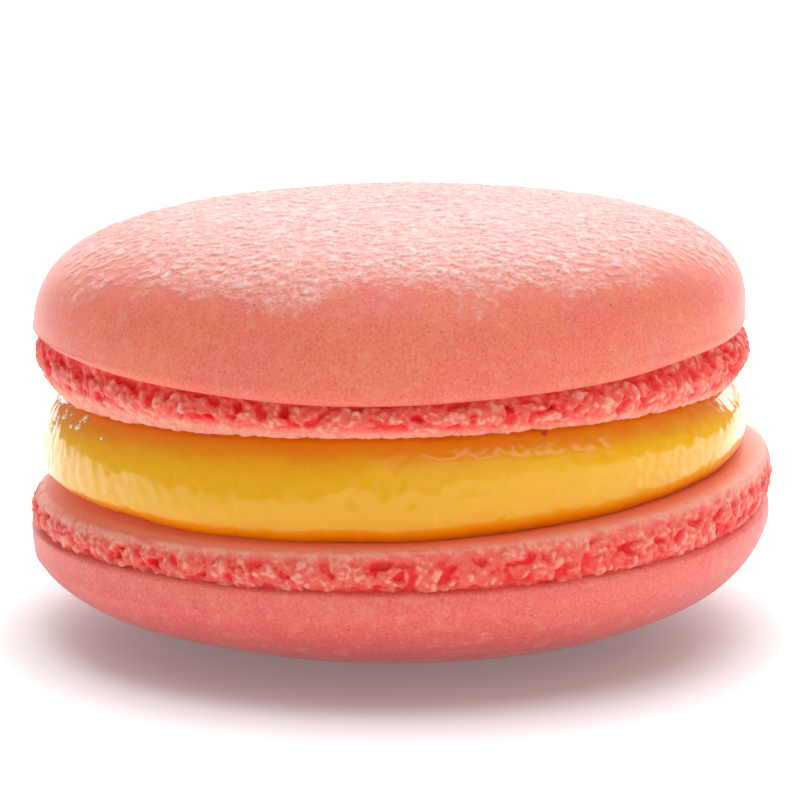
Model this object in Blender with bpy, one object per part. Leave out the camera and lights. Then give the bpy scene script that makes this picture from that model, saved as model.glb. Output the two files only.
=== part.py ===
"""French macaron: two baked almond shells with ruffled feet, and fruit curd between them.

Three solids, one for each piece of the real thing:
    lower_shell   the shell that the macaron stands on, dome down
    filling       the disc of curd, which bulges out between the shells
    upper_shell   the shell on top, dome up

Each solid is turned about Z from a profile of rings and then made uneven: every ring has
its own centre, tilt, saddle and twist, and the feet have crumb relief. The frame is +Z up,
in metres, with the origin on the table under the middle of the macaron. -Y is the front.
"""

import math
from dataclasses import dataclass, replace

import bmesh
import bpy
from mathutils import Vector, noise

MM = 0.001

# Resolution of the turned solids
SHELL_STEPS = 150
FILLING_STEPS = 72
WELD_DISTANCE = 0.001 * MM
SHARP_ANGLE = math.radians(40)

# Crumb relief of the feet, and the slight waves of the smooth domes
LUMP_SIZE = 2.3 * MM
CRUMB_DEPTH = 0.42 * MM
LIP_RAGGEDNESS = 0.22 * MM
WAVE_SIZE = 9.0 * MM
WAVE_DEPTH = 0.07 * MM

# Each solid starts its relief at a place of its own
LOWER_SHELL_SEED = 3.0
FILLING_SEED = 5.0
UPPER_SHELL_SEED = 7.0

# Clearance between one piece and the next
GAP = 0.30 * MM

# Levels, each with how far it leans up to the right, rises at both sides, and twists
LOWER_RIM_HEIGHT = 7.35 * MM
LOWER_RIM_LEAN = (0.80 * MM, 0.12 * MM, 0.25 * MM)
LEDGE_HEIGHT = 10.03 * MM
LEDGE_LEAN = (1.26 * MM, 0.22 * MM, 0.13 * MM)
SEAT_HEIGHT = 10.50 * MM
SEAT_LEAN = (0.65 * MM, 0.45 * MM, 0.0)
BULGE_HEIGHT = 12.10 * MM
BULGE_LEAN = (1.00 * MM, 0.0, 0.0)
LIP_HEIGHT = 15.85 * MM
LIP_LEAN = (0.35 * MM, -0.22 * MM, -0.08 * MM)
UPPER_RIM_HEIGHT = 18.75 * MM
UPPER_RIM_LEAN = (0.06 * MM, 0.60 * MM, -0.14 * MM)

# Radii of the feet and the filling, and their sideways offsets: the stack isn't quite true
REST_RADIUS = 7.40 * MM
SEAT_RADIUS = 21.30 * MM
LEDGE_RADIUS = 22.40 * MM
LEDGE_OFFSET = 0.21 * MM
BULGE_RADIUS = 21.90 * MM
FILLING_OFFSET = -0.40 * MM
FILLING_TUCK = 1.25 * MM
LIP_RADIUS = 21.00 * MM
LIP_OFFSET = -0.25 * MM
UNDERSIDE_INSET = 1.00 * MM
UNDERSIDE_RECESS = 0.10 * MM

# Stations on the domes, from 0 on the widest level to 1 on the crown
UPPER_DOME_STATIONS = (0.88, 0.76, 0.64, 0.52, 0.40, 0.28, 0.15, 0.0)
LOWER_DOME_STATIONS = (0.07, 0.16, 0.26, 0.37, 0.48, 0.59, 0.70)

# Profiles down each crust edge and foot: share of the way from its upper level to its lower
# one, how far the surface stands out past the dome's radius, and the depth of its crumb relief
UPPER_EDGE = (
    (0.0, -0.08 * MM, 0.0),
    (0.06, -0.55 * MM, 0.0),
    (0.20, -0.20 * MM, CRUMB_DEPTH),
    (0.42, 0.10 * MM, CRUMB_DEPTH),
    (0.64, -0.10 * MM, CRUMB_DEPTH),
    (0.84, -0.50 * MM, LIP_RAGGEDNESS),
)
LOWER_EDGE = (
    (0.18, -0.28 * MM, LIP_RAGGEDNESS),
    (0.38, -0.05 * MM, CRUMB_DEPTH),
    (0.60, -0.08 * MM, CRUMB_DEPTH),
    (0.80, -0.20 * MM, CRUMB_DEPTH),
    (0.93, -0.42 * MM, 0.0),
    (1.0, -0.10 * MM, 0.0),
)

# Profile of the filling: above its bulge down from its top edge, then below it down to the seat
FILLING_SHOULDER = (
    (0.14, LIP_RADIUS - 0.35 * MM),
    (0.42, BULGE_RADIUS - 0.42 * MM),
    (0.72, BULGE_RADIUS - 0.08 * MM),
)
FILLING_SKIRT = (
    (0.60, BULGE_RADIUS - 0.10 * MM),
    (1.0, SEAT_RADIUS + 0.25 * MM),
)


@dataclass(frozen=True)
class Ring:
    """One ring of a turned solid: its mean size, how uneven it is and how rough."""

    radius: float
    height: float
    offset: float = 0.0
    lean: tuple = (0.0, 0.0, 0.0)
    crumb: float = 0.0
    wave: float = 0.0

    def point(self, angle, seed):
        """The ring's own point at an angle from +X."""
        tilt, saddle, twist = self.lean
        height = self.height + tilt * math.cos(angle)
        height += saddle * math.cos(2 * angle) + twist * math.sin(2 * angle)
        around = Vector((math.cos(angle), math.sin(angle), 0.0))
        place = around * self.radius + Vector((0.0, 0.0, height))
        radius = self.radius + self.crumb * lumps(place, seed) + self.wave * waves(place, seed)
        return Vector((self.offset, 0.0, height)) + around * radius

    def toward(self, other, share):
        """A smooth ring part of the way from this one to another."""

        def mixed(start, end):
            return start + (end - start) * share

        lean = tuple(mixed(start, end) for start, end in zip(self.lean, other.lean))
        return Ring(mixed(self.radius, other.radius), mixed(self.height, other.height),
                    mixed(self.offset, other.offset), lean)


@dataclass(frozen=True)
class Dome:
    """A baked dome, whose side is one Bezier arc from its widest level to its crown."""

    radius: float
    height: float
    rise: float
    shoulder: float
    crown: float
    offset: float
    crown_offset: float
    lean: float
    crown_lean: float

    def ring(self, station):
        """The ring at a station from 0, the widest level, to 1, the crown."""
        left = 1.0 - station
        radius = self.radius * (left**3 + 3 * left**2 * station) + 3 * self.crown * left * station**2
        up = 3 * self.shoulder * left**2 * station + self.rise * (3 * left * station**2 + station**3)
        part = up / self.rise
        lean = (self.lean + (self.crown_lean - self.lean) * part) * radius / self.radius
        offset = self.offset + (self.crown_offset - self.offset) * part
        return Ring(radius, self.height + up, offset, (lean, 0.0, 0.0), wave=WAVE_DEPTH)


LOWER_DOME = Dome(
    radius=23.09 * MM,
    height=7.45 * MM,
    rise=-7.70 * MM,
    shoulder=-5.92 * MM,
    crown=11.49 * MM,
    offset=-0.06 * MM,
    crown_offset=0.57 * MM,
    lean=1.38 * MM,
    crown_lean=0.0,
)
UPPER_DOME = Dome(
    radius=22.05 * MM,
    height=19.65 * MM,
    rise=6.81 * MM,
    shoulder=5.45 * MM,
    crown=16.57 * MM,
    offset=-0.67 * MM,
    crown_offset=-0.34 * MM,
    lean=0.47 * MM,
    crown_lean=0.33 * MM,
)


def lumps(place, seed):
    """Rounded crumbs with narrow cracks between them, about -1 in a crack to 0.5 on a lump."""
    spot = place / LUMP_SIZE + Vector((0.0, 0.0, seed))
    nearest, second = noise.voronoi(spot)[0][:2]
    swell = noise.noise(spot * 0.6)
    return min(1.0, 2.2 * (second - nearest)) - 0.75 + 0.5 * swell


def waves(place, seed):
    """Slow unevenness of a dome, between about -1 and 1."""
    return 1.6 * noise.noise(place / WAVE_SIZE + Vector((seed, 0.0, 0.0)))


def edge_rings(upper, lower, radius, profile):
    """The rings of a crust's edge and its foot, between an upper and a lower level."""
    return [
        replace(upper.toward(lower, share), radius=radius + proud, crumb=crumb)
        for share, proud, crumb in profile
    ]


def upper_shell_rings():
    """From the crown down to the middle of the underside."""
    crown = replace(UPPER_DOME.ring(1.0), wave=0.0)
    dome = [UPPER_DOME.ring(station) for station in UPPER_DOME_STATIONS]
    rim = Ring(UPPER_DOME.radius, UPPER_RIM_HEIGHT, UPPER_DOME.offset, UPPER_RIM_LEAN)
    lip = Ring(LIP_RADIUS, LIP_HEIGHT, LIP_OFFSET, LIP_LEAN, crumb=LIP_RAGGEDNESS)
    edge = edge_rings(rim, lip, UPPER_DOME.radius, UPPER_EDGE)
    under = Ring(LIP_RADIUS - UNDERSIDE_INSET, LIP_HEIGHT + UNDERSIDE_RECESS, LIP_OFFSET, LIP_LEAN)
    middle = Ring(0.0, under.height, LIP_OFFSET)
    return [crown, *dome, dome[-1].toward(rim, 0.5), *edge, lip, under, middle]


def filling_rings():
    """From the middle of its top down to the middle of its underside."""
    top_height = LIP_HEIGHT - GAP - FILLING_TUCK / 8
    top = Ring(LIP_RADIUS - FILLING_TUCK, top_height, FILLING_OFFSET, LIP_LEAN)
    bulge = Ring(BULGE_RADIUS, BULGE_HEIGHT, FILLING_OFFSET, BULGE_LEAN)
    foot = Ring(SEAT_RADIUS - FILLING_TUCK, SEAT_HEIGHT + GAP, FILLING_OFFSET, SEAT_LEAN)
    shoulder = [replace(top.toward(bulge, share), radius=radius) for share, radius in FILLING_SHOULDER]
    skirt = [replace(bulge.toward(foot, share), radius=radius) for share, radius in FILLING_SKIRT]
    middle_top = Ring(0.0, top.height, FILLING_OFFSET)
    middle_foot = Ring(0.0, foot.height, FILLING_OFFSET)
    return [middle_top, top, *shoulder, bulge, *skirt, foot, middle_foot]


def lower_shell_rings():
    """From the middle of the seat down to the middle of the rest spot."""
    middle = Ring(0.0, SEAT_HEIGHT, LEDGE_OFFSET)
    seat = Ring(SEAT_RADIUS, SEAT_HEIGHT, LEDGE_OFFSET, SEAT_LEAN)
    ledge = Ring(LEDGE_RADIUS, LEDGE_HEIGHT, LEDGE_OFFSET, LEDGE_LEAN)
    rim = Ring(LOWER_DOME.radius, LOWER_RIM_HEIGHT, LOWER_DOME.offset, LOWER_RIM_LEAN)
    edge = edge_rings(ledge, rim, LOWER_DOME.radius, LOWER_EDGE)
    dome = [LOWER_DOME.ring(station) for station in LOWER_DOME_STATIONS]
    rest = Ring(REST_RADIUS, 0.0, LOWER_DOME.crown_offset)
    return [middle, seat, ledge, *edge, *dome, rest, replace(rest, radius=0.0)]


def turned_solid(name, rings, steps, seed, material):
    """Spin a profile of rings about Z, then move every point to its ring's own uneven place."""
    mesh = bmesh.new()
    number = mesh.verts.layers.int.new("ring")
    profile = []
    for index, ring in enumerate(rings):
        vert = mesh.verts.new((ring.radius, 0.0, ring.height))
        vert[number] = index
        profile.append(vert)
    edges = [mesh.edges.new(pair) for pair in zip(profile, profile[1:])]
    bmesh.ops.spin(mesh, geom=profile + edges, cent=(0.0, 0.0, 0.0), axis=(0.0, 0.0, 1.0),
                   angle=2 * math.pi, steps=steps, use_merge=True)
    bmesh.ops.remove_doubles(mesh, verts=mesh.verts, dist=WELD_DISTANCE)
    for vert in mesh.verts:
        ring = rings[vert[number]]
        vert.co = ring.point(math.atan2(vert.co.y, vert.co.x), seed)
    bmesh.ops.recalc_face_normals(mesh, faces=mesh.faces)
    data = bpy.data.meshes.new(name)
    mesh.to_mesh(data)
    mesh.free()
    data.shade_smooth()
    data.set_sharp_from_angle(angle=SHARP_ANGLE)
    data.materials.append(material)
    bpy.context.scene.collection.objects.link(bpy.data.objects.new(name, data))


def finish(name, colour, roughness):
    """A plain material with the piece's own colour."""
    material = bpy.data.materials.new(name)
    material.use_nodes = True
    shader = material.node_tree.nodes["Principled BSDF"]
    shader.inputs["Base Color"].default_value = (*colour, 1.0)
    shader.inputs["Roughness"].default_value = roughness
    shader.inputs["Metallic"].default_value = 0.0
    return material


def build():
    """Clear the scene and model the macaron from the table up."""
    for old in list(bpy.data.objects):
        bpy.data.objects.remove(old, do_unlink=True)
    lower_crust = finish("lower_shell_crust", (0.72, 0.17, 0.14), 0.6)
    curd = finish("mango_curd", (0.84, 0.38, 0.03), 0.2)
    upper_crust = finish("upper_shell_crust", (0.80, 0.22, 0.15), 0.6)
    turned_solid("lower_shell", lower_shell_rings(), SHELL_STEPS, LOWER_SHELL_SEED, lower_crust)
    turned_solid("filling", filling_rings(), FILLING_STEPS, FILLING_SEED, curd)
    turned_solid("upper_shell", upper_shell_rings(), SHELL_STEPS, UPPER_SHELL_SEED, upper_crust)


build()
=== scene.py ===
"""Looks of a french macaron: two baked almond shells with ruffled feet, and glossy fruit curd.

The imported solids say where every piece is. Here each shell is shown as a smooth crust and an
open, crumbly foot, and the filling as one soft disc of curd with the bubbles and crumbs on it.
The frame is in metres, +Z up, with the origin on the table and -Y towards the camera. Angles
round the macaron are counted from +X, so the front is at 270 degrees.
"""

from __future__ import annotations

import logging
import math
import random
from dataclasses import dataclass, replace
from enum import Enum
from typing import Callable, Iterator, Sequence

import bpy
import numpy as np
from bpy.types import Material, Node, NodeSocket, Object
from mathutils import Matrix, Vector, noise


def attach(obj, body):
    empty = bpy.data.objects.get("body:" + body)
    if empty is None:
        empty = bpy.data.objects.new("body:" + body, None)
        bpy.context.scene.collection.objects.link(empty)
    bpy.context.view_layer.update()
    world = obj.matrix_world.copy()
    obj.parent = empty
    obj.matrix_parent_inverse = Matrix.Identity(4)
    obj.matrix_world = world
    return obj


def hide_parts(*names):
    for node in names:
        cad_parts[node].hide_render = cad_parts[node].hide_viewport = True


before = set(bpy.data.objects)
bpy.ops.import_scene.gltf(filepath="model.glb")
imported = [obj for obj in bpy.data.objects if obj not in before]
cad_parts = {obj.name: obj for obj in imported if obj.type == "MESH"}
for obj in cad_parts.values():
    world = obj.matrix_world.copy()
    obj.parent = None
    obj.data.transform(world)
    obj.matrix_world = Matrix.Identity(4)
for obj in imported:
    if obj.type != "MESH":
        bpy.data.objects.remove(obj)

LOG = logging.getLogger("macaron")
MM = 0.001
SEAM = 0.001 * MM
BODY = "root"
NOISE_SEED = 5
WAVE_SIZE = 9.0 * MM

Colour = tuple[float, float, float]


class Slot(Enum):
    """The record's material slots."""

    SHELL = "shell"
    CURD = "curd"


class CadNode(Enum):
    """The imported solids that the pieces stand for."""

    LOWER_SHELL = "lower_shell"
    FILLING = "filling"
    UPPER_SHELL = "upper_shell"


@dataclass(frozen=True)
class Ring:
    """One level ring of a turned form: its mean size, how uneven it is and how rough.

    lean holds how far the ring tilts up to the right, rises at both sides and twists. rough
    says how much of the piece's relief it gets, and fine how closely rows are set after it.
    """

    radius: float
    height: float
    offset: float = 0.0
    lean: tuple[float, float, float] = (0.0, 0.0, 0.0)
    rough: float = 0.0
    fine: float = 1.0

    def toward(self, other: Ring, share: float) -> Ring:
        """A ring part of the way from this one to another.

        Args:
            other: the ring at share 1.
            share: how far to go, from 0 to 1.

        Returns:
            The ring between them.
        """
        mixed = [start + (end - start) * share for start, end in zip(self.numbers(), other.numbers())]
        return Ring(mixed[0], mixed[1], mixed[2], (mixed[3], mixed[4], mixed[5]), mixed[6], mixed[7])

    def numbers(self) -> tuple[float, ...]:
        """The ring as plain numbers, in the order that Section keeps them."""
        return (self.radius, self.height, self.offset, *self.lean, self.rough, self.fine)


@dataclass(frozen=True)
class Dome:
    """A baked dome, whose side is one Bezier arc from its widest level to its crown."""

    radius: float
    height: float
    rise: float
    shoulder: float
    crown: float
    offset: float
    crown_offset: float
    lean: float
    crown_lean: float

    def ring(self, station: float) -> Ring:
        """A level ring of the dome.

        Args:
            station: from 0, the widest level, to 1, the crown.

        Returns:
            The ring there.
        """
        left = 1.0 - station
        radius = self.radius * (left**3 + 3 * left**2 * station) + 3 * self.crown * left * station**2
        up = 3 * self.shoulder * left**2 * station + self.rise * (3 * left * station**2 + station**3)
        part = up / self.rise
        lean = (self.lean + (self.crown_lean - self.lean) * part) * radius / self.radius
        offset = self.offset + (self.crown_offset - self.offset) * part
        return Ring(radius, self.height + up, offset, (lean, 0.0, 0.0))


UPPER_DOME = Dome(
    radius=22.05 * MM,
    height=19.65 * MM,
    rise=6.62 * MM,
    shoulder=5.45 * MM,
    crown=16.57 * MM,
    offset=-0.67 * MM,
    crown_offset=-0.34 * MM,
    lean=0.47 * MM,
    crown_lean=0.33 * MM,
)
LOWER_DOME = Dome(
    radius=23.09 * MM,
    height=7.45 * MM,
    rise=-7.70 * MM,
    shoulder=-5.92 * MM,
    crown=11.49 * MM,
    offset=-0.06 * MM,
    crown_offset=0.57 * MM,
    lean=1.38 * MM,
    crown_lean=0.0,
)
UPPER_RIM = Ring(22.05 * MM, 18.75 * MM, -0.67 * MM, (0.06 * MM, 0.60 * MM, -0.14 * MM))
LIP = Ring(21.00 * MM, 15.85 * MM, -0.25 * MM, (0.35 * MM, -0.22 * MM, -0.08 * MM))
BULGE = Ring(21.90 * MM, 12.10 * MM, -0.40 * MM, (1.00 * MM, 0.0, 0.0))
SEAT = Ring(21.30 * MM, 10.50 * MM, 0.21 * MM, (0.65 * MM, 0.45 * MM, 0.0))
LEDGE = Ring(22.40 * MM, 10.03 * MM, 0.21 * MM, (1.26 * MM, 0.22 * MM, 0.13 * MM))
LOWER_RIM = Ring(23.09 * MM, 7.35 * MM, -0.06 * MM, (0.80 * MM, 0.12 * MM, 0.25 * MM))
UPPER_FOOT_INSIDE = (
    Ring(18.6 * MM, 16.4 * MM, LIP.offset, fine=0.10),
    Ring(18.8 * MM, 18.9 * MM, UPPER_RIM.offset, fine=0.10),
)
LOWER_FOOT_INSIDE = (
    Ring(21.3 * MM, 7.4 * MM, LOWER_RIM.offset, LOWER_RIM.lean, fine=0.10),
    Ring(19.2 * MM, 8.4 * MM, SEAT.offset, fine=0.10),
)


def smooth_step(low: float, high: float, value: float) -> float:
    """0 at low, 1 at high, with an even ramp that is soft at both ends."""
    share = min(1.0, max(0.0, (value - low) / (high - low)))
    return share * share * (3.0 - 2.0 * share)


class Section:
    """The profile of a turned piece, read anywhere along its length."""

    FINE_STEPS = 24
    TINY = 1e-12

    def __init__(self, rings: Sequence[Ring], closed: bool = False) -> None:
        """Draw a smooth line through the rings.

        Args:
            rings: from the crown outwards and down, so that outside is on the left.
            closed: whether the last ring leads back to the first.
        """
        table = np.array([ring.numbers() for ring in rings])
        if closed:
            padded = np.vstack([table[-1], table, table[:2]])
        else:
            padded = np.vstack([2 * table[0] - table[1], table, 2 * table[-1] - table[-2]])
        spans = len(padded) - 3
        steps = np.arange(self.FINE_STEPS)[:, None] / self.FINE_STEPS
        pieces = [self.span(padded[index : index + 4], steps) for index in range(spans)]
        line = np.vstack([*pieces, padded[-2][None]])
        lengths = np.hypot(np.diff(line[:, 0]), np.diff(line[:, 1])) * line[:-1, 7]
        self.share = np.concatenate([[0.0], np.cumsum(lengths)])
        self.share /= self.share[-1]
        along = np.gradient(line[:, :2], axis=0)
        along /= np.maximum(np.linalg.norm(along, axis=1), self.TINY)[:, None]
        self.line = np.hstack([line, -along[:, 1:2], along[:, 0:1]])

    @staticmethod
    def span(four: np.ndarray, steps: np.ndarray) -> np.ndarray:
        """Points of a Catmull-Rom curve between the middle two of four rings.

        Args:
            four: the four rings' numbers.
            steps: shares of the way, as a column.

        Returns:
            One row of numbers for each share.
        """
        before, start, end, after = four
        slope_in = (end - before) / 2
        slope_out = (after - start) / 2
        bend = 2 * (start - end) + slope_in + slope_out
        lift = 3 * (end - start) - 2 * slope_in - slope_out
        return start + steps * (slope_in + steps * (lift + steps * bend))

    def points(self, share: np.ndarray, angle: np.ndarray) -> tuple[np.ndarray, np.ndarray, np.ndarray]:
        """Where points of the surface are.

        Args:
            share: how far along the profile each is, from 0 to 1.
            angle: the angle of each round the macaron.

        Returns:
            Places, outward directions, and how rough the surface is there.
        """
        columns = [np.interp(share, self.share, column) for column in self.line.T]
        radius, height, offset, tilt, saddle, twist, rough, _, out, up = columns
        height = height + tilt * np.cos(angle) + saddle * np.cos(2 * angle) + twist * np.sin(2 * angle)
        places = np.stack([offset + radius * np.cos(angle), radius * np.sin(angle), height], axis=1)
        length = np.maximum(np.hypot(out, up), self.TINY)
        normals = np.stack([out * np.cos(angle), out * np.sin(angle), up], axis=1) / length[:, None]
        return places, normals, rough


Relief = Callable[[Vector, float], tuple[float, float]]


def lumps(place: Vector, size: float, seed: float) -> tuple[float, float]:
    """Rounded lumps with cracks between them.

    Args:
        place: where to look.
        size: the lumps' spacing.
        seed: moves the pattern.

    Returns:
        The distance to the middle of the nearest lump, and to the crack round it, in lumps.
    """
    nearest, second = noise.voronoi(place / size + Vector((seed, 0.0, -seed)))[0][:2]
    return nearest, second - nearest


def waves(place: Vector, seed: float) -> float:
    """Slow unevenness of a whole piece, between about -1 and 1."""
    return 1.6 * noise.noise(place / WAVE_SIZE + Vector((seed, 0.0, 0.0)))


@dataclass(frozen=True)
class Wrinkles:
    """Relief of a crust: fine almond wrinkles on the crown, which fade on its shoulder."""

    seed: float
    wave_depth: float = 0.07 * MM
    pebble_size: float = 0.52 * MM
    pebble_depth: float = 0.060 * MM
    ridge_size: float = 0.80 * MM
    ridge_depth: float = 0.045 * MM
    patch_size: float = 3.5 * MM

    def relief(self, place: Vector, rough: float) -> tuple[float, float]:
        """How far the crust stands out, and its crest mark.

        Args:
            place: the point on the plain form.
            rough: how wrinkled the form is there, from 0 to 1.

        Returns:
            The relief, and a mark that is 0 on smooth crust, 0.3 between wrinkles and 1 on a crest.
        """
        stand = self.wave_depth * waves(place, self.seed)
        if rough <= 0.0:
            return stand, 0.0
        away = Vector((0.0, self.seed, 0.0))
        patch = noise.noise(place / self.patch_size + away)
        strength = smooth_step(0.08, 0.85, rough + 0.5 * patch)
        drift = noise.noise_vector(place / (1.6 * self.pebble_size) + away) * 0.6 * self.pebble_size
        pebble = 1.6 * noise.noise((place + drift) / self.pebble_size + away)
        ridge = max(0.0, 1.0 - 4.5 * abs(noise.noise((place + drift * 0.8) / self.ridge_size - away)))
        ridge *= smooth_step(-0.45, 0.25, pebble)
        wrinkle = self.pebble_depth * pebble + self.ridge_depth * ridge
        crest = smooth_step(0.05, 1.0, 0.45 * ridge + 0.75 * pebble)
        return stand + strength * wrinkle, strength * (0.3 + 0.7 * crest)


@dataclass(frozen=True)
class Crumb:
    """Relief of a foot: an open crumb of rounded lumps, with cracks, cavities and small holes."""

    seed: float
    lump_size: float = 1.30 * MM
    grain_size: float = 0.46 * MM
    hole_size: float = 1.35 * MM
    lump_depth: float = 0.17 * MM
    crack_depth: float = 0.12 * MM
    grain_depth: float = 0.07 * MM
    hole_depth: float = 0.42 * MM
    froth_size: float = 0.30 * MM
    froth_depth: float = 0.065 * MM
    cavity_size: float = 0.95 * MM
    cavity_depth: float = 0.24 * MM
    dust_size: float = 0.17 * MM
    dust_depth: float = 0.045 * MM
    open_size: float = 3.1 * MM
    ledge_hollow: float = 0.15

    def relief(self, place: Vector, rough: float) -> tuple[float, float]:
        """How far the crumb stands out, and how hollow it is.

        Args:
            place: the point on the plain form.
            rough: how open the crumb is there, from 0 to 1.

        Returns:
            The relief, and a mark that goes from 0 on a crest to 1 in a hole.
        """
        away = Vector((self.seed, -self.seed, 0.0))
        stand = self.dust_depth * noise.noise(place / self.dust_size + away) * (0.35 + 0.65 * rough)
        if rough <= 0.0:
            return stand, self.ledge_hollow
        froth = 1.5 * noise.noise(place / self.froth_size - away)
        drift = noise.noise_vector(place / (1.2 * self.lump_size) + away) * 0.45 * self.lump_size
        drift += noise.noise_vector(place / (0.5 * self.lump_size) - away) * 0.16 * self.lump_size
        spot = place + drift
        middle, edge = lumps(spot, self.lump_size, self.seed)
        crack = 1.0 - smooth_step(0.0, 0.22, edge)
        small_middle, small_edge = lumps(spot, self.grain_size, self.seed + 3.0)
        small_crack = 1.0 - smooth_step(0.0, 0.34, small_edge)
        hollow_spot = noise.voronoi(spot / self.hole_size + away)
        chance = noise.cell(hollow_spot[1][0] * 7.3)
        width = 0.14 + 0.26 * max(0.0, chance)
        hole = smooth_step(width, width * 0.45, hollow_spot[0][0]) if chance > 0.05 else 0.0
        open_share = 0.55 + 0.9 * noise.noise(place / self.open_size - away)
        open_share = min(1.0, max(0.15, open_share))
        cavity = smooth_step(0.10, 0.60, 1.5 * noise.noise(spot / self.cavity_size - away))
        depth = self.lump_depth * (0.5 - middle) - self.cavity_depth * cavity
        depth -= self.crack_depth * crack * open_share
        depth += self.grain_depth * (0.45 - small_middle - small_crack * 0.6)
        depth += self.froth_depth * froth
        depth -= self.hole_depth * hole
        hollow = 0.24 + 0.40 * crack * open_share + 0.20 * small_crack + 0.9 * hole - 0.30 * froth
        hollow += 0.65 * cavity
        hollow -= 0.45 * (0.55 - middle) + 0.25 * (0.5 - small_middle)
        mixed = self.ledge_hollow + (min(1.0, max(0.0, hollow)) - self.ledge_hollow) * rough
        return stand + depth * rough, mixed


@dataclass(frozen=True)
class SoftSkin:
    """Relief of the curd: slow waves from piping, a fuller shoulder on one side, and fine bumps."""

    seed: float
    swell_size: float = 4.0 * MM
    swell_depth: float = 0.10 * MM
    bump_size: float = 0.80 * MM
    bump_depth: float = 0.060 * MM
    bumpy_size: float = 5.0 * MM
    drift_size: float = 1.6 * MM
    drift_depth: float = 0.6 * MM
    streak_size: float = 0.72 * MM
    streak_depth: float = 0.050 * MM
    streak_level: float = 13.1 * MM
    streak_reach: float = 1.4 * MM
    pit_size: float = 0.50 * MM
    pit_depth: float = 0.030 * MM
    pitted_size: float = 6.0 * MM
    full_angle: float = math.radians(-52.0)
    full_width: float = math.radians(34.0)
    full_depth: float = 0.30 * MM
    full_rise: tuple[float, float] = (12.6 * MM, 14.3 * MM)
    full_fall: tuple[float, float] = (14.5 * MM, 15.6 * MM)

    def relief(self, place: Vector, rough: float) -> tuple[float, float]:
        """How far the curd stands out, and how close it is to a shell.

        Args:
            place: the point on the plain form.
            rough: how near a shell it is, from 0 to 1.

        Returns:
            The relief, and rough unchanged as the mark.
        """
        away = Vector((self.seed, self.seed, 0.0))
        stand = self.swell_depth * noise.noise(place / self.swell_size + away)
        bumpy = smooth_step(-0.35, 0.35, noise.noise(place / self.bumpy_size - away))
        calm = 1.0 - 0.85 * smooth_step(0.3, 0.9, rough)
        bumps = self.bump_depth * noise.noise(place / self.bump_size - away) * (0.5 + 0.5 * bumpy)
        side = 1.0 - 0.8 * smooth_step(0.86, 0.98, place.x / place.to_2d().length)
        stand += bumps * (0.4 + 0.6 * calm) * side
        turn = (math.atan2(place.y, place.x) - self.full_angle) / self.full_width
        full = math.exp(-turn * turn)
        shoulder = smooth_step(*self.full_rise, place.z) - smooth_step(*self.full_fall, place.z)
        stand += self.full_depth * full * shoulder
        drift = self.drift_depth * noise.noise(place / self.drift_size + away)
        flat = Vector((place.x + drift, place.y - drift, place.z * 0.12))
        upward = min(1.0, max(-1.0, (place.z - self.streak_level) / self.streak_reach))
        stand += self.streak_depth * noise.noise(flat / self.streak_size + away) * upward * calm * side
        pitted = smooth_step(-0.15, 0.30, noise.noise(place / self.pitted_size + away * 0.5)) * calm + full
        stand += self.pit_depth * noise.noise(place / self.pit_size - away) * pitted
        return stand, rough


def deselect_all() -> None:
    """Leave nothing selected, so that an operator acts on the next primitive alone."""
    if bpy.context.object is not None and bpy.context.object.mode != "OBJECT":
        bpy.ops.object.mode_set(mode="OBJECT")
    bpy.ops.object.select_all(action="DESELECT")


def named(name: str) -> Object:
    """Name the newest primitive and its mesh.

    Args:
        name: the name of both.

    Returns:
        The named object.
    """
    piece = bpy.context.object
    piece.name = name
    piece.data.name = name
    return piece


def read_points(piece: Object) -> np.ndarray:
    """Read a mesh's points.

    Args:
        piece: the mesh object.

    Returns:
        One row for each point.
    """
    flat = np.zeros(len(piece.data.vertices) * 3)
    piece.data.vertices.foreach_get("co", flat)
    return flat.reshape(-1, 3)


def set_points(piece: Object, section: Section, share: np.ndarray, angle: np.ndarray,
               relief: Relief, mark: str) -> None:
    """Move each point to its place on a turned section and give it its relief.

    Args:
        piece: the mesh object to shape.
        section: the profile to follow.
        share: each point's place along the profile.
        angle: each point's angle round the macaron.
        relief: what stands out from the turned form.
        mark: the name of the attribute that keeps the relief's second number.
    """
    places, normals, rough = section.points(share, angle)
    reliefs = [relief(Vector(place), level) for place, level in zip(places.tolist(), rough.tolist())]
    stands, marks = np.array(reliefs).T
    points = places + normals * stands[:, None]
    points[:, 2] = np.maximum(points[:, 2], 0.0)
    piece.data.vertices.foreach_set("co", points.ravel())
    layer = piece.data.attributes.new(mark, "FLOAT", "POINT")
    layer.data.foreach_set("value", marks.astype(np.float32))
    piece.data.update()


def close_up(piece: Object, merge: bool = False) -> None:
    """Close the seams, turn every face outwards and shade the piece smooth.

    Args:
        piece: the mesh object to finish.
        merge: whether the piece was rolled up and has seams to merge.
    """
    deselect_all()
    piece.select_set(True)
    bpy.context.view_layer.objects.active = piece
    bpy.ops.object.mode_set(mode="EDIT")
    bpy.ops.mesh.select_all(action="SELECT")
    if merge:
        bpy.ops.mesh.remove_doubles(threshold=SEAM)
    bpy.ops.mesh.normals_make_consistent(inside=False)
    bpy.ops.object.mode_set(mode="OBJECT")
    bpy.ops.object.shade_smooth()


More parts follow.
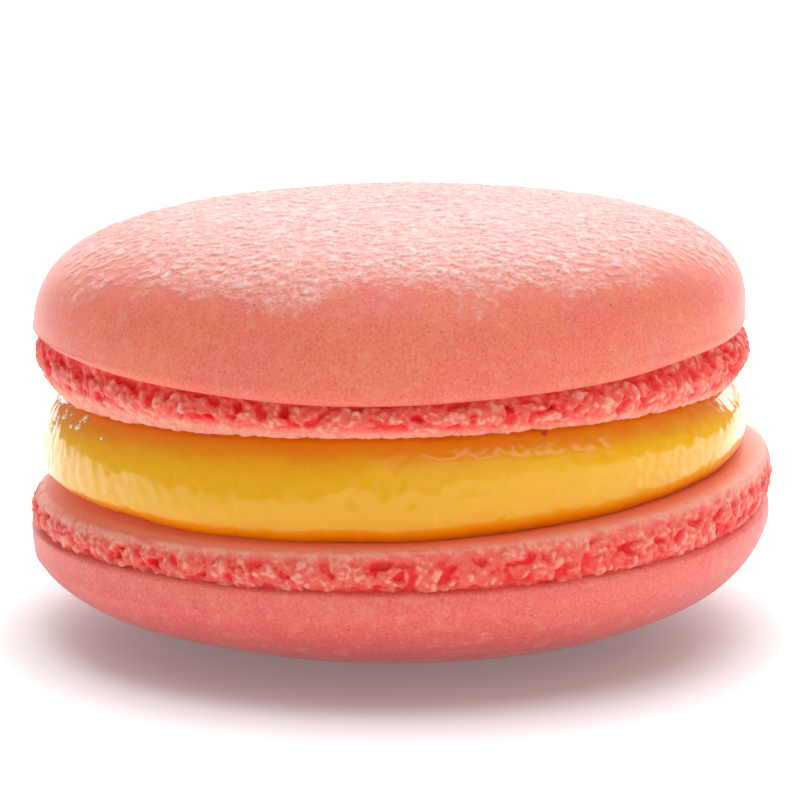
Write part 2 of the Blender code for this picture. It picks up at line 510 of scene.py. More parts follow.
def rolled_sheet(name: str, steps: int, rows: int, section: Section, relief: Relief,
                 mark: str) -> Object:
    """Roll a flat sheet about Z into a turned piece and merge its seams.

    Args:
        name: the piece's name.
        steps: how many faces go round.
        rows: how many follow the profile.
        section: the profile.
        relief: what stands out from the turned form.
        mark: the name of the attribute that keeps the relief's second number.

    Returns:
        The closed piece.
    """
    deselect_all()
    bpy.ops.mesh.primitive_grid_add(x_subdivisions=steps, y_subdivisions=rows, size=2.0)
    piece = named(name)
    points = read_points(piece)
    share = (points[:, 1] + 1.0) / 2
    set_points(piece, section, share, points[:, 0] * math.pi, relief, mark)
    close_up(piece, merge=True)
    return piece


def hand_over(piece: Object, material: Material, node: CadNode, slot: Slot) -> None:
    """Dress a finished piece, tie it to its body and hide the solid that it stands for.

    Args:
        piece: the finished piece.
        material: its finish.
        node: the solid that it stands for.
        slot: the record's slot that it would take its finish from; not used.
    """
    piece.data.materials.clear()
    piece.data.materials.append(material)
    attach(piece, BODY)
    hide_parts(node.value)
    LOG.info("%s: %d faces, for %s", piece.name, len(piece.data.polygons), node.value)


@dataclass(frozen=True)
class Crust:
    """The smooth baked skin of one shell, from its crown to the crease above or below its foot."""

    name: str
    node: CadNode
    rings: tuple[Ring, ...]
    wrinkles: Wrinkles
    dome_up: bool
    subdivisions: int = 6
    cuts: int = 3
    cut_level: float = -0.17

    def build(self, material: Material) -> Object:
        """Cut a ball of even triangles and bend it to the crust.

        Args:
            material: the crust's finish.

        Returns:
            The finished piece.
        """
        side = 1.0 if self.dome_up else -1.0
        deselect_all()
        bpy.ops.mesh.primitive_ico_sphere_add(subdivisions=self.subdivisions, radius=1.0)
        piece = named(self.name)
        bpy.ops.object.mode_set(mode="EDIT")
        bpy.ops.mesh.select_all(action="SELECT")
        bpy.ops.mesh.subdivide(number_cuts=self.cuts)
        bpy.ops.mesh.bisect(plane_co=(0.0, 0.0, side * self.cut_level), plane_no=(0.0, 0.0, side),
                            use_fill=True, clear_inner=True)
        bpy.ops.object.mode_set(mode="OBJECT")
        points = read_points(piece)
        level = points[:, 2] * side / np.linalg.norm(points, axis=1)
        share = np.arccos(level) / np.arccos(level.min())
        share = share if self.dome_up else 1.0 - share
        angle = np.arctan2(points[:, 1], points[:, 0])
        section = Section(self.rings)
        set_points(piece, section, np.clip(share, 0.0, 1.0), angle, self.wrinkles.relief, "crest")
        close_up(piece)
        hand_over(piece, material, self.node, Slot.SHELL)
        return piece


@dataclass(frozen=True)
class Foot:
    """The ruffled, crumbly foot of one shell, as a closed ring."""

    name: str
    node: CadNode
    rings: tuple[Ring, ...]
    crumb: Crumb
    steps: int = 1440
    rows: int = 68

    def build(self, material: Material) -> Object:
        """Roll a fine sheet into the foot's ring and roughen it.

        Args:
            material: the foot's finish.

        Returns:
            The finished piece.
        """
        piece = rolled_sheet(self.name, self.steps, self.rows, Section(self.rings, closed=True),
                             self.crumb.relief, "hollow")
        hand_over(piece, material, self.node, Slot.SHELL)
        return piece


@dataclass(frozen=True)
class Curd:
    """The soft disc of curd, which bulges out between the shells."""

    name: str = "filling_curd"
    skin: SoftSkin = SoftSkin(seed=5.0)
    steps: int = 1080
    rows: int = 84
    lip_overlap: float = 0.18 * MM
    tuck: float = 1.25 * MM

    def rings(self) -> tuple[Ring, ...]:
        """The disc's profile.

        Returns:
            Its rings from the middle of the top down to the middle of the underside.
        """
        offset = BULGE.offset
        top = Ring(LIP.radius - self.tuck, LIP.height + self.lip_overlap, offset, LIP.lean, 1.0, 0.06)
        foot = Ring(SEAT.radius - self.tuck, SEAT.height - self.lip_overlap, offset, SEAT.lean, 1.0, 0.06)

        def between(start: Ring, end: Ring, share: float, radius: float, rough: float) -> Ring:
            """A ring between two levels, with its own radius and roughness."""
            return replace(start.toward(end, share), radius=radius, rough=rough, fine=1.0)

        return (
            replace(top, radius=0.0, lean=(0.0, 0.0, 0.0)),
            replace(top, radius=top.radius - 1.0 * MM, fine=0.3),
            replace(top, fine=1.0),
            between(top, BULGE, 0.04, LIP.radius - 0.72 * MM, 1.0),
            between(top, BULGE, 0.15, LIP.radius - 0.12 * MM, 0.8),
            between(top, BULGE, 0.42, BULGE.radius - 0.42 * MM, 0.3),
            between(top, BULGE, 0.72, BULGE.radius - 0.08 * MM, 0.0),
            replace(BULGE, rough=0.1),
            between(BULGE, foot, 0.42, BULGE.radius - 0.10 * MM, 0.3),
            between(BULGE, foot, 0.72, BULGE.radius - 0.36 * MM, 0.8),
            between(BULGE, foot, 0.90, BULGE.radius - 0.68 * MM, 1.0),
            between(BULGE, foot, 1.0, SEAT.radius - 0.40 * MM, 1.0),
            replace(foot, fine=0.3),
            replace(foot, radius=foot.radius - 1.0 * MM, fine=0.06),
            replace(foot, radius=0.0, lean=(0.0, 0.0, 0.0)),
        )

    def build(self, material: Material) -> Object:
        """Roll a fine sheet to the disc's section.

        Args:
            material: the curd's finish.

        Returns:
            The finished piece.
        """
        piece = rolled_sheet(self.name, self.steps, self.rows, Section(self.rings()),
                             self.skin.relief, "edge")
        hand_over(piece, material, CadNode.FILLING, Slot.CURD)
        return piece


@dataclass(frozen=True)
class Cluster:
    """Small things that lie together on the curd, between two angles and two levels."""

    first_angle: float
    last_angle: float
    low: float
    high: float
    count: int
    smallest: float
    largest: float


CURD_SIDE = np.linspace(0.25, 0.75, 401)


@dataclass(frozen=True)
class Scatter:
    """Many small copies of one shape, pressed into the curd's side and joined as one piece."""

    name: str
    node: CadNode
    slot: Slot
    clusters: tuple[Cluster, ...]
    seed: int
    subdivisions: int
    flatness: float
    sunk: float
    unevenness: float = 0.0

    def build(self, surface: Section, material: Material) -> Object:
        """Model one of them, copy it to every place and join the copies.

        Args:
            surface: the curd's profile.
            material: the finish of all of them.

        Returns:
            The finished piece.
        """
        draw = random.Random(self.seed)
        deselect_all()
        bpy.ops.mesh.primitive_ico_sphere_add(subdivisions=self.subdivisions, radius=1.0)
        pattern = named(self.name)
        copies = [self.copy(pattern, cluster, surface, draw)
                  for cluster in self.clusters for _ in range(cluster.count)]
        bpy.data.objects.remove(pattern)
        deselect_all()
        for piece in copies:
            piece.select_set(True)
        bpy.context.view_layer.objects.active = copies[0]
        bpy.ops.object.join()
        piece = named(self.name)
        close_up(piece)
        hand_over(piece, material, self.node, self.slot)
        return piece

    def copy(self, pattern: Object, cluster: Cluster, surface: Section,
             draw: random.Random) -> Object:
        """One copy of the pattern, at a place drawn in its cluster.

        Args:
            pattern: the shape of radius 1.
            cluster: where it may lie and how large it may be.
            surface: the curd's profile.
            draw: the seeded source of every chance.

        Returns:
            The new object, with its place in its mesh.
        """
        angle = math.radians(draw.uniform(cluster.first_angle, cluster.last_angle))
        level = draw.uniform(cluster.low, cluster.high)
        size = draw.uniform(cluster.smallest, cluster.largest)
        places, normals, _ = surface.points(CURD_SIDE, np.full(len(CURD_SIDE), angle))
        outer = int(np.argmin(np.abs(places[:, 2] - level)))
        place, normal = Vector(places[outer]), Vector(normals[outer])
        turn = normal.to_track_quat("Z", "Y").to_matrix().to_4x4()
        stretch = Matrix.Diagonal((size, size * draw.uniform(0.8, 1.0), size * self.flatness, 1.0))
        piece = bpy.data.objects.new(pattern.name, pattern.data.copy())
        bpy.context.scene.collection.objects.link(piece)
        for vertex in piece.data.vertices:
            away = vertex.co * 1.7 + Vector((size / MM * 31.0, angle, 0.0))
            vertex.co *= 1.0 + self.unevenness * noise.noise(away)
        piece.data.transform(Matrix.Translation(place - normal * size * self.sunk) @ turn @ stretch)
        return piece


BUBBLE_CLUSTERS = (
    Cluster(192, 208, 13.7 * MM, 15.0 * MM, 14, 0.13 * MM, 0.23 * MM),
    Cluster(206, 218, 14.1 * MM, 15.0 * MM, 6, 0.11 * MM, 0.18 * MM),
    Cluster(222, 252, 12.6 * MM, 13.8 * MM, 6, 0.05 * MM, 0.08 * MM),
    Cluster(254, 266, 13.7 * MM, 14.4 * MM, 12, 0.05 * MM, 0.09 * MM),
    Cluster(270, 284, 13.4 * MM, 14.4 * MM, 6, 0.04 * MM, 0.07 * MM),
    Cluster(318, 352, 13.0 * MM, 15.6 * MM, 10, 0.06 * MM, 0.13 * MM),
    Cluster(20, 48, 13.4 * MM, 15.2 * MM, 16, 0.07 * MM, 0.18 * MM),
    Cluster(84, 118, 12.4 * MM, 14.6 * MM, 14, 0.05 * MM, 0.13 * MM),
    Cluster(140, 168, 13.6 * MM, 15.2 * MM, 16, 0.08 * MM, 0.20 * MM),
)
CRUMB_CLUSTERS = (
    Cluster(294.5, 295.5, 15.9 * MM, 16.0 * MM, 1, 0.17 * MM, 0.18 * MM),
    Cluster(20, 170, 15.2 * MM, 15.8 * MM, 9, 0.08 * MM, 0.18 * MM),
)


Input = object


class Value:
    """A number that a socket gives, for use in Python expressions."""

    def __init__(self, nodes: Nodes, socket: NodeSocket) -> None:
        """Wrap a socket of a material's nodes."""
        self.nodes = nodes
        self.socket = socket

    def __add__(self, other: Value | float) -> Value:
        """Sum of two values."""
        return self.nodes.maths("ADD", self, other)

    def __sub__(self, other: Value | float) -> Value:
        """Difference of two values."""
        return self.nodes.maths("SUBTRACT", self, other)

    def __rsub__(self, other: float) -> Value:
        """Difference with a number on the left."""
        return self.nodes.maths("SUBTRACT", other, self)

    def __mul__(self, other: Value | float) -> Value:
        """Product of two values."""
        return self.nodes.maths("MULTIPLY", self, other)

    __radd__ = __add__
    __rmul__ = __mul__


class Nodes:
    """The node tree of one new material."""

    def __init__(self, name: str) -> None:
        """Start a material with a Principled shader.

        Args:
            name: the material's name.
        """
        self.material = bpy.data.materials.new(name)
        self.material.use_nodes = True
        self.tree = self.material.node_tree
        self.shader = self.tree.nodes["Principled BSDF"]
        self.place = self.add("ShaderNodeTexCoord").outputs["Object"]

    def put(self, socket: NodeSocket, value: Input) -> None:
        """Link or set one input socket.

        Args:
            socket: the input.
            value: a number, a colour, a socket or a Value.
        """
        if isinstance(value, Value):
            value = value.socket
        if isinstance(value, NodeSocket):
            self.tree.links.new(value, socket)
        else:
            socket.default_value = value

    def add(self, kind: str, settings: dict[str, object] | None = None,
            inputs: dict[str | int, Input] | None = None) -> Node:
        """Add a node.

        Args:
            kind: the node's type.
            settings: its own properties, which are set first.
            inputs: values or links of its sockets, by name or number.

        Returns:
            The new node.
        """
        node = self.tree.nodes.new(kind)
        for key, setting in (settings or {}).items():
            setattr(node, key, setting)
        for key, value in (inputs or {}).items():
            self.put(node.inputs[key], value)
        return node

    def maths(self, operation: str, first: Input, second: Input) -> Value:
        """A Math node as a value."""
        node = self.add("ShaderNodeMath", {"operation": operation}, {0: first, 1: second})
        return Value(self, node.outputs[0])

    def ramp(self, value: Input, low: float, high: float) -> Value:
        """A soft ramp of a value.

        Args:
            value: what is ramped.
            low: the value where it gives 0.
            high: the value where it gives 1.

        Returns:
            The ramped value.
        """
        inputs = {"Value": value, "From Min": low, "From Max": high}
        node = self.add("ShaderNodeMapRange", {"interpolation_type": "SMOOTHSTEP"}, inputs)
        return Value(self, node.outputs["Result"])

    def cloud(self, size: float, detail: float = 2.0) -> Value:
        """Soft noise.

        Args:
            size: how large its clouds are, in metres.
            detail: how many finer layers it has.

        Returns:
            The noise, between 0 and 1.
        """
        inputs = {"Vector": self.place, "Scale": 1.0 / size, "Detail": detail}
        return Value(self, self.add("ShaderNodeTexNoise", {}, inputs).outputs[0])

    def spots(self, spacing: float, width: float, share: float) -> Value:
        """Scattered round spots.

        Args:
            spacing: how far apart cells are, in metres.
            width: the spots' radius, as a share of the spacing.
            share: how many of the cells have one, from 0 to 1.

        Returns:
            1 inside a spot and 0 outside.
        """
        node = self.add("ShaderNodeTexVoronoi", {}, {"Vector": self.place, "Scale": 1.0 / spacing})
        inside = self.ramp(Value(self, node.outputs["Distance"]), width, width * 0.5)
        pick = self.add("ShaderNodeSeparateColor", {}, {"Color": node.outputs["Color"]})
        chosen = self.maths("LESS_THAN", Value(self, pick.outputs[0]), share)
        return inside * chosen

    def mark(self, name: str) -> Value:
        """A number that the mesh keeps at each point."""
        node = self.add("ShaderNodeAttribute", {"attribute_name": name})
        return Value(self, node.outputs["Fac"])

    def along(self, axis: str) -> Value:
        """How far along X, Y or Z a point lies, in metres."""
        return Value(self, self.add("ShaderNodeSeparateXYZ", {}, {0: self.place}).outputs[axis])

    def reach(self) -> Value:
        """How far from the upright axis a point lies.

        Returns:
            The distance, in metres.
        """
        level = {0: self.place, 1: (1.0, 1.0, 0.0)}
        flat = self.add("ShaderNodeVectorMath", {"operation": "MULTIPLY"}, level)
        length = self.add("ShaderNodeVectorMath", {"operation": "LENGTH"}, {0: flat.outputs[0]})
        return Value(self, length.outputs["Value"])

    def blend(self, share: Input, first: Input, second: Input) -> NodeSocket:
        """A colour part of the way from one to another."""
        node = self.add("ShaderNodeMix", {"data_type": "RGBA"}, {0: share, 6: paint(first), 7: paint(second)})
        return node.outputs[2]

    def bump(self, height: Input, depth: float, strength: float) -> NodeSocket:
        """A bumpy normal.

        Args:
            height: the relief, from 0 to 1.
            depth: how deep 1 is, in metres.
            strength: how much of it shows.

        Returns:
            The normal's socket.
        """
        inputs = {"Height": height, "Distance": depth, "Strength": strength}
        return self.add("ShaderNodeBump", {}, inputs).outputs["Normal"]

    def finish(self, **sockets: Input) -> Material:
        """Set the shader's sockets.

        Args:
            **sockets: their values, by names with _ for each space.

        Returns:
            The material.
        """
        for name, value in sockets.items():
            self.put(self.shader.inputs[name.replace("_", " ")], value)
        return self.material


def paint(colour: Input) -> Input:
    """A colour with its alpha, if it is three numbers."""
    return (*colour, 1.0) if isinstance(colour, tuple) and len(colour) == 3 else colour


@dataclass(frozen=True)
class CrustFinish:
    """Baked almond meringue: matt coral, finely grained, with freckles, painted highlight and painted shade.
    """

    name: str
    coral: Colour = (0.93, 0.215, 0.122)
    rose: Colour = (0.91, 0.190, 0.138)
    crest: Colour = (0.97, 0.48, 0.40)
    # painted highlight: the pale pink that the wrinkles, their crests and the crown are whitened towards
    painted_haze: Colour = (0.98, 0.70, 0.66)
    freckle: Colour = (0.68, 0.062, 0.022)
    # painted shade: the darker red that the lower crust turns to towards the table
    underside_shade: Colour = (0.60, 0.032, 0.032)
    underside_shade_from: float = 6.8 * MM
    underside_shade_to: float = 1.4 * MM
    # painted highlight: heights over which the whitening grows towards the crown
    painted_haze_from: float = 24.2 * MM
    painted_haze_to: float = 26.3 * MM
    sheen: float = 0.40
    pit: Colour = (0.40, 0.020, 0.010)
    blotch_size: float = 3.0 * MM
    patch_size: float = 0.9 * MM
    pore_size: float = 0.5 * MM
    fine_size: float = 0.24 * MM
    grain_size: float = 0.16 * MM
    freckle_spacing: float = 0.75 * MM
    pit_spacing: float = 1.5 * MM
    bump_depth: float = 0.040 * MM
    glow_depth: float = 0.35 * MM

    def material(self) -> Material:
        """Make the material.

        Returns:
            The crust's material.
        """
        nodes = Nodes(self.name)
        blotch = nodes.ramp(nodes.cloud(self.blotch_size, 3.0), 0.35, 0.65)
        grain = nodes.cloud(self.grain_size, 3.0)
        fine = nodes.cloud(self.fine_size, 3.0)
        freckles = nodes.spots(self.freckle_spacing, 0.16, 0.30)
        pits = nodes.spots(self.pit_spacing, 0.060, 0.45)
        mark = nodes.mark("crest")
        wrinkled = nodes.ramp(mark, 0.05, 0.30)
        crest = nodes.ramp(mark, 0.32, 1.0)
        colour = nodes.blend(blotch, self.coral, self.rose)
        # painted shade: darker towards the bottom of the lower crust, where the table shades it
        underside_shade = nodes.ramp(nodes.along("Z"), self.underside_shade_from, self.underside_shade_to)
        colour = nodes.blend(underside_shade, colour, self.underside_shade)
        colour = nodes.blend(nodes.ramp(grain, 0.50, 0.68) * 0.20, colour, self.crest)
        colour = nodes.blend(nodes.ramp(grain, 0.46, 0.32) * 0.35, colour, self.freckle)
        # painted highlight: paler towards the crown, where the back light falls
        high = nodes.ramp(nodes.along("Z"), self.painted_haze_from, self.painted_haze_to)
        patches = nodes.ramp(nodes.cloud(self.patch_size, 3.0), 0.50, 0.70)
        colour = nodes.blend(patches * 0.16, colour, self.crest)
        # painted highlight: the wrinkled crust is whitened, the more towards the crown
        colour = nodes.blend(wrinkled * (0.16 + high * 0.34), colour, self.painted_haze)
        # painted shade: the hollows between the wrinkles turn back to saturated coral
        shaded_hollows = wrinkled * nodes.ramp(mark, 0.44, 0.30) * nodes.ramp(fine, 0.53, 0.40)
        colour = nodes.blend(shaded_hollows * 0.55, colour, self.coral)
        # painted highlight: small pale glints over the wrinkles
        painted_glints = wrinkled * nodes.ramp(fine, 0.46, 0.60) * (0.26 + high * 0.20)
        colour = nodes.blend(painted_glints, colour, self.painted_haze)
        # painted highlight on the wrinkle crests
        colour = nodes.blend(crest * (0.50 + nodes.ramp(fine, 0.42, 0.56) * 0.45), colour, self.painted_haze)
        colour = nodes.blend(freckles * 0.45, colour, self.freckle)
        colour = nodes.blend(pits * 0.9, colour, self.pit)
        height = grain * 0.8 - pits + nodes.cloud(self.pore_size) * 0.6 + wrinkled * fine * 3.2
        return nodes.finish(
            Base_Color=colour,
            Roughness=0.55,
            Normal=nodes.bump(height, self.bump_depth, 0.7),
            Subsurface_Weight=0.30,
            Subsurface_Radius=(1.0, 0.25, 0.20),
            Subsurface_Scale=self.glow_depth,
            Specular_IOR_Level=0.35,
            Sheen_Weight=self.sheen,
            Sheen_Roughness=0.38,
            Sheen_Tint=(1.0, 0.94, 0.98, 1.0),
        )


@dataclass(frozen=True)
class FootFinish:
    """Open crumb: painted shade from pale crests to saturated red cracks, and a ledge moist from the curd."""

    name: str
    crest: Colour = (0.96, 0.37, 0.28)
    body: Colour = (0.93, 0.140, 0.098)
    # painted shade: the saturated red of cracks, holes and the creases under the crusts
    deep: Colour = (0.92, 0.012, 0.016)
    juicy: Colour = (0.98, 0.185, 0.060)
    pale: Colour = (0.96, 0.46, 0.33)
    juicy_inside: float = 21.8 * MM
    dry_outside: float = 22.5 * MM
    ledge_slope: float = 0.056
    lower_foot: tuple[float, float] = (13.0 * MM, 12.5 * MM)
    # heights of the painted shadow under the upper crust's edge and above the lower crust
    upper_crease: tuple[float, float] = (17.5 * MM, 18.3 * MM)
    lower_crease: tuple[float, float] = (8.5 * MM, 7.7 * MM)
    lip_level: tuple[float, float] = (16.9 * MM, 16.2 * MM)
    rim_reach: tuple[float, float] = (22.35 * MM, 22.60 * MM)
    rim_level: tuple[float, float] = (9.45 * MM, 9.85 * MM)
    patch_size: float = 1.1 * MM
    grain_size: float = 0.14 * MM
    bump_depth: float = 0.040 * MM
    glow_depth: float = 0.8 * MM

    def material(self) -> Material:
        """Make the material.

        Returns:
            The crumb's material.
        """
        nodes = Nodes(self.name)
        hollow = nodes.mark("hollow")
        grain = nodes.cloud(self.grain_size, 3.0)
        depth = hollow + (grain - 0.5) * 0.35
        # painted shade: pale on the crests, redder and then saturated red the deeper the crumb lies
        colour = nodes.blend(nodes.ramp(depth, 0.05, 0.42), self.crest, self.body)
        colour = nodes.blend(nodes.ramp(depth, 0.50, 1.02), colour, self.deep)
        height = nodes.along("Z")
        reach = nodes.reach()
        low = nodes.ramp(height, *self.lower_foot)
        level = height - nodes.along("X") * self.ledge_slope
        # painted shadow: patches of saturated red in the creases under the upper crust and above the lower
        # one
        crease = nodes.ramp(height, *self.upper_crease) + low * nodes.ramp(level, *self.lower_crease) * 0.7
        patches = nodes.ramp(nodes.cloud(self.patch_size), 0.44, 0.58)
        colour = nodes.blend(crease * patches * 0.80, colour, self.deep)
        crusty = 0.45 + nodes.ramp(grain, 0.45, 0.60) * 0.45
        lip = nodes.ramp(height, *self.lip_level) * (1.0 - low) * crusty
        colour = nodes.blend(lip, colour, self.pale)
        juice = low * nodes.ramp(reach, self.dry_outside, self.juicy_inside)
        colour = nodes.blend(juice * 0.90, colour, self.juicy)
        rim = low * nodes.ramp(reach, *self.rim_reach) * nodes.ramp(level, *self.rim_level)
        colour = nodes.blend(rim * 0.50, colour, self.pale)
        return nodes.finish(
            Base_Color=colour,
            Roughness=0.55,
            Normal=nodes.bump(grain, self.bump_depth, 0.7),
            Subsurface_Weight=0.45,
            Subsurface_Radius=(1.0, 0.22, 0.18),
            Subsurface_Scale=self.glow_depth,
            Sheen_Weight=0.20,
            Sheen_Roughness=0.4,
            Sheen_Tint=(1.0, 0.92, 1.0, 1.0),
        )


@dataclass(frozen=True)
class CurdFinish:
    """Glossy mango curd: yellow, turning orange towards the shells, partly as painted shade and bounce light.
    """

    name: str
    golden: Colour = (0.96, 0.49, 0.008)
    orange: Colour = (0.96, 0.26, 0.0)
    cloud_size: float = 2.0 * MM
    ripple_size: float = 0.35 * MM
    grain_size: float = 0.12 * MM
    bump_depth: float = 0.02 * MM
    glow_depth: float = 1.6 * MM

    def material(self) -> Material:
        """Make the material.

        Returns:
            The curd's material.
        """
        nodes = Nodes(self.name)
        cloudy = nodes.cloud(self.cloud_size, 3.0)
        edge = nodes.mark("edge") + (cloudy - 0.5) * 0.35
        # orange towards the shells: partly the curd's own colour, partly painted shade under the upper shell
        # and painted bounce light over the lower one
        colour = nodes.blend(nodes.ramp(edge, 0.05, 0.95), self.golden, self.orange)
        height = nodes.cloud(self.ripple_size) + nodes.cloud(self.grain_size, 1.0) * 0.2
        return nodes.finish(
            Base_Color=colour,
            Roughness=0.13,
            IOR=1.45,
            Normal=nodes.bump(height, self.bump_depth, 0.5),
            Subsurface_Weight=0.75,
            Subsurface_Radius=(1.0, 0.45, 0.02),
            Subsurface_Scale=self.glow_depth,
        )


@dataclass(frozen=True)
class BubbleFinish:
    """The thin skin of air bubbles in the curd, palest at the far left as painted highlight."""

    name: str
    pale: Colour = (0.98, 0.78, 0.52)
    golden: Colour = (0.97, 0.62, 0.12)
    pale_across: float = -17.5 * MM
    golden_across: float = -13.0 * MM
    glow_depth: float = 0.3 * MM

    def material(self) -> Material:
        """Make the material.

        Returns:
            The bubbles' material.
        """
        nodes = Nodes(self.name)
        # painted highlight: the bubbles turn pale towards the far left, where the curd's side catches glare
        inward = nodes.ramp(nodes.along("X"), self.pale_across, self.golden_across)
        return nodes.finish(
            Base_Color=nodes.blend(inward, self.pale, self.golden),
            Roughness=0.45,
            IOR=1.30,
            Subsurface_Weight=0.4,
            Subsurface_Radius=(1.0, 0.6, 0.2),
            Subsurface_Scale=self.glow_depth,
        )


@dataclass(frozen=True)
class FloorFinish:
    """The plain white table, whose glow is painted light: bright all round, dimmer under the macaron as
    painted shadow.
    """

    name: str
    white: Colour = (0.66, 0.66, 0.66)
    # painted shadow: the floor glows only this much under the macaron
    under: float = 0.16
    front: float = 0.66
    left_glare: float = 0.72
    right_glare: float = 0.80
    cloudy: Colour = (0.63, 0.63, 0.64)
    cloud_size: float = 0.2
    half_width: float = 30.0 * MM
    behind_from: float = -45.0 * MM
    lit: tuple[float, float] = (18.5 * MM, 32.0 * MM)
    glare_starts: tuple[float, float] = (36.0 * MM, 55.0 * MM)
    glare_ends: tuple[float, float] = (0.60, 0.30)

    def material(self) -> Material:
        """Make the material.

        Returns:
            The floor's material.
        """
        nodes = Nodes(self.name)
        soft = nodes.blend(nodes.cloud(self.cloud_size, 1.0) * 0.05, self.white, self.cloudy)
        reach = nodes.reach()
        across = nodes.ramp(nodes.along("X"), -self.half_width, self.half_width)
        glare = self.left_glare + across * (self.right_glare - self.left_glare)
        behind = nodes.ramp(nodes.along("Y"), self.behind_from, 0.0)
        near = nodes.ramp(reach, *self.lit)
        ring = nodes.ramp(reach, *self.glare_starts) * nodes.ramp(reach, *self.glare_ends)
        # painted light: the floor's glow, weak under the macaron as a painted shadow, with glare patches
        # behind it
        glow = self.under + near * (self.front - self.under) + ring * behind * glare
        return nodes.finish(
            Base_Color=soft,
            Roughness=0.8,
            Emission_Color=glow.socket,
            Emission_Strength=1.0,
        )


@dataclass(frozen=True)
class Shells:
    """Both baked shells, each a crust and a foot."""

    stations: int = 40
    wrinkled_from: float = 0.08
    wrinkled_to: float = 0.64
    upper_inside: float = 18.5 * MM
    lower_inside: float = 19.5 * MM
    ledge_inside: float = 19.2 * MM
    lower_start: float = 0.07

    def upper_crust(self) -> Crust:
        """The dome on top, whose rounded edge hangs over its foot.

        Returns:
            The crust, ready to build.
        """
        crown = [self.wrinkled(UPPER_DOME, 1.0 - index / self.stations) for index in range(self.stations)]
        widest = UPPER_DOME.ring(0.0)
        edge = [
            self.at(widest, UPPER_RIM, share, proud)
            for share, proud in ((0.45, 0.03), (0.84, -0.08), (0.99, -0.26), (1.03, -0.55), (0.96, -1.0))
        ]
        inside = replace(edge[-1], radius=self.upper_inside, fine=0.25)
        return Crust("upper_crust", CadNode.UPPER_SHELL, (*crown, widest, *edge, inside),
                     Wrinkles(seed=7.0), dome_up=True)

    def lower_crust(self) -> Crust:
        """The dome that the macaron stands on.

        Returns:
            The crust, ready to build.
        """
        inside = replace(LOWER_RIM, radius=self.lower_inside, height=LOWER_RIM.height + 0.30 * MM)
        edge = [
            replace(LOWER_RIM, radius=LOWER_RIM.radius + proud * MM, height=LOWER_RIM.height + up * MM)
            for proud, up in ((-1.1, 0.22), (-0.62, 0.18), (-0.32, 0.08), (-0.13, -0.10))
        ]
        dome = [LOWER_DOME.ring(self.lower_start + (1.0 - self.lower_start) * index / self.stations)
                for index in range(self.stations + 1)]
        return Crust("lower_crust", CadNode.LOWER_SHELL, (inside, *edge, *dome),
                     Wrinkles(seed=3.0), dome_up=False)

    def upper_foot(self) -> Foot:
        """The ruffled foot under the upper crust, down to its ragged lip.

        Returns:
            The foot, ready to build.
        """
        profile = ((-0.18, -0.95, 0.0), (0.0, -0.66, 0.5), (0.10, -0.46, 0.9), (0.22, -0.20, 1.0),
                   (0.42, 0.08, 1.0), (0.64, -0.10, 1.0), (0.82, -0.46, 0.9), (0.95, -0.86, 0.5))
        face = [self.at(UPPER_RIM, LIP, share, proud, rough) for share, proud, rough in profile]
        lip = [
            replace(LIP, rough=0.45),
            replace(LIP, radius=LIP.radius - 0.45 * MM, height=LIP.height - 0.05 * MM, rough=0.3),
            replace(LIP, radius=LIP.radius - 1.2 * MM, height=LIP.height + 0.10 * MM, fine=0.10),
        ]
        return Foot("upper_foot", CadNode.UPPER_SHELL, (*face, *lip, *UPPER_FOOT_INSIDE), Crumb(seed=7.0))

    def lower_foot(self) -> Foot:
        """The foot of the lower shell: a smooth ledge with crumb below its rim.

        Returns:
            The foot, ready to build.
        """
        seat = replace(SEAT, radius=self.ledge_inside, fine=0.10)
        ledge = [
            replace(SEAT, radius=SEAT.radius - 0.3 * MM, rough=0.0),
            SEAT.toward(LEDGE, 0.5),
            replace(LEDGE, radius=LEDGE.radius - 0.10 * MM, rough=0.10),
            replace(LEDGE, radius=LEDGE.radius + 0.22 * MM, height=LEDGE.height - 0.10 * MM, rough=0.2),
        ]
        outer = replace(LOWER_RIM, radius=LOWER_DOME.radius)
        profile = ((0.16, -0.28, 0.45), (0.26, -0.20, 0.8), (0.40, -0.06, 1.0), (0.60, -0.08, 1.0),
                   (0.80, -0.22, 1.0), (0.93, -0.46, 0.7), (1.02, -0.80, 0.3))
        face = []
        for share, proud, rough in profile:
            level = LEDGE.toward(outer, share)
            face.append(replace(level, radius=outer.radius + proud * MM, rough=rough))
        rings = (seat, *ledge, *face, *LOWER_FOOT_INSIDE)
        return Foot("lower_foot", CadNode.LOWER_SHELL, rings, Crumb(seed=3.0))

    def wrinkled(self, dome: Dome, station: float) -> Ring:
        """A ring of the dome, wrinkled near the crown."""
        return replace(dome.ring(station), rough=smooth_step(self.wrinkled_from, self.wrinkled_to, station))

    @staticmethod
    def at(upper: Ring, lower: Ring, share: float, proud: float, rough: float = 0.0) -> Ring:
        """A ring between two levels, standing out from the dome by millimetres."""
        level = upper.toward(lower, share)
        return replace(level, radius=UPPER_DOME.radius + proud * MM, rough=rough)

    def build(self) -> None:
        """Build and dress the four baked pieces."""
        crust = CrustFinish("coral_crust").material()
        rosy = CrustFinish("rosy_crust", coral=(0.93, 0.190, 0.145), rose=(0.91, 0.165, 0.140),
                           sheen=0.30).material()
        crumb = FootFinish("coral_crumb").material()
        self.upper_crust().build(crust)
        self.upper_foot().build(crumb)
        self.lower_foot().build(crumb)
        self.lower_crust().build(rosy)


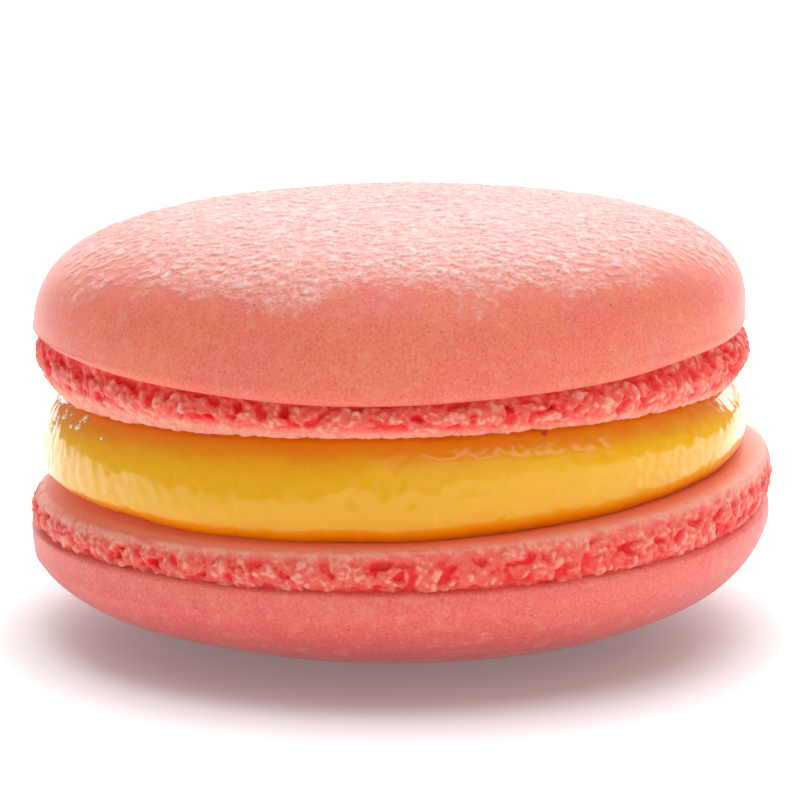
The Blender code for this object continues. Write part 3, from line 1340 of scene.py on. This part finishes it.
@dataclass(frozen=True)
class Lamp:
    """One soft light: where it is, its size, and how bright its face is."""

    name: str
    place: tuple[float, float, float]
    width: float
    height: float
    glow: float

    def build(self, target: Vector) -> None:
        """Hang the light.

        Args:
            target: the point that it is turned to.
        """
        data = bpy.data.lights.new(self.name, "AREA")
        data.shape = "RECTANGLE"
        data.size = self.width
        data.size_y = self.height
        data.energy = self.glow * math.pi * self.width * self.height
        lamp = bpy.data.objects.new(self.name, data)
        bpy.context.scene.collection.objects.link(lamp)
        lamp.location = self.place
        lamp.rotation_euler = (target - Vector(self.place)).to_track_quat("-Z", "Y").to_euler()
        lamp.visible_camera = False


@dataclass(frozen=True)
class Studio:
    """A white table, soft light from behind and above, and the photograph's camera."""

    distance: float = 0.250
    elevation: float = math.radians(11.5)
    aim_height: float = 14.05 * MM
    lens: float = 180.49
    sensor: float = 36.0
    near_clip: float = 10.0 * MM
    floor_radius: float = 1.6
    floor_sides: int = 96
    floor_drop: float = 0.02 * MM
    sky: float = 0.25

    def lamps(self) -> Iterator[Lamp]:
        """The soft lights."""
        yield Lamp("back_wall", (0.05, 1.0, 0.42), 1.25, 0.75, 3.6)
        yield Lamp("overhead", (0.10, 0.06, 1.0), 1.2, 1.0, 2.0)
        yield Lamp("front_fill", (0.55, -1.0, 0.55), 1.6, 1.0, 0.50)

    def build(self) -> None:
        """Set up table, light and camera."""
        aim = Vector((0.0, 0.0, self.aim_height))
        deselect_all()
        bpy.ops.mesh.primitive_circle_add(vertices=self.floor_sides, radius=self.floor_radius,
                                          fill_type="NGON", location=(0.0, 0.0, 0.0))
        floor = named("table")
        floor.data.transform(Matrix.Translation((0.0, 0.0, -self.floor_drop)))
        floor.data.materials.append(FloorFinish("white_table").material())
        for lamp in self.lamps():
            lamp.build(aim)
        world = bpy.data.worlds.new("studio")
        bpy.context.scene.world = world
        world.use_nodes = True
        background = world.node_tree.nodes["Background"]
        background.inputs["Color"].default_value = paint((1.0, 1.0, 1.0))
        background.inputs["Strength"].default_value = self.sky
        self.camera(aim)
        bpy.context.scene.view_settings.view_transform = "Standard"
        LOG.info("studio: %d lamps, sky %.2f", len(list(self.lamps())), self.sky)

    def camera(self, aim: Vector) -> None:
        """Put the camera where the photograph was taken from.

        Args:
            aim: the point that it looks at.
        """
        data = bpy.data.cameras.new("photo_camera")
        data.lens = self.lens
        data.sensor_width = self.sensor
        data.clip_start = self.near_clip
        camera = bpy.data.objects.new("photo_camera", data)
        bpy.context.scene.collection.objects.link(camera)
        forward = Vector((0.0, math.cos(self.elevation), -math.sin(self.elevation)))
        camera.location = aim - forward * self.distance
        camera.rotation_euler = (math.pi / 2 - self.elevation, 0.0, 0.0)
        bpy.context.scene.camera = camera


def main() -> None:
    """Build the macaron and its studio."""
    logging.basicConfig(level=logging.INFO, format="%(message)s")
    noise.seed_set(NOISE_SEED)
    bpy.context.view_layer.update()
    Shells().build()
    curd = Curd()
    curd.build(CurdFinish("mango_curd").material())
    surface = Section(curd.rings())
    bubbles = Scatter("curd_bubbles", CadNode.FILLING, Slot.CURD, BUBBLE_CLUSTERS, seed=11,
                      subdivisions=2, flatness=0.75, sunk=0.25)
    bubbles.build(surface, BubbleFinish("bubble_skin").material())
    crumbs = Scatter("shell_crumbs", CadNode.UPPER_SHELL, Slot.SHELL, CRUMB_CLUSTERS, seed=4,
                     subdivisions=2, flatness=0.8, sunk=0.1, unevenness=0.8)
    dark = (0.50, 0.025, 0.01)
    loose = FootFinish("loose_crumb", crest=(0.60, 0.05, 0.02), body=dark, pale=dark)
    crumbs.build(surface, loose.material())
    Studio().build()


if __name__ == "__main__":
    main()
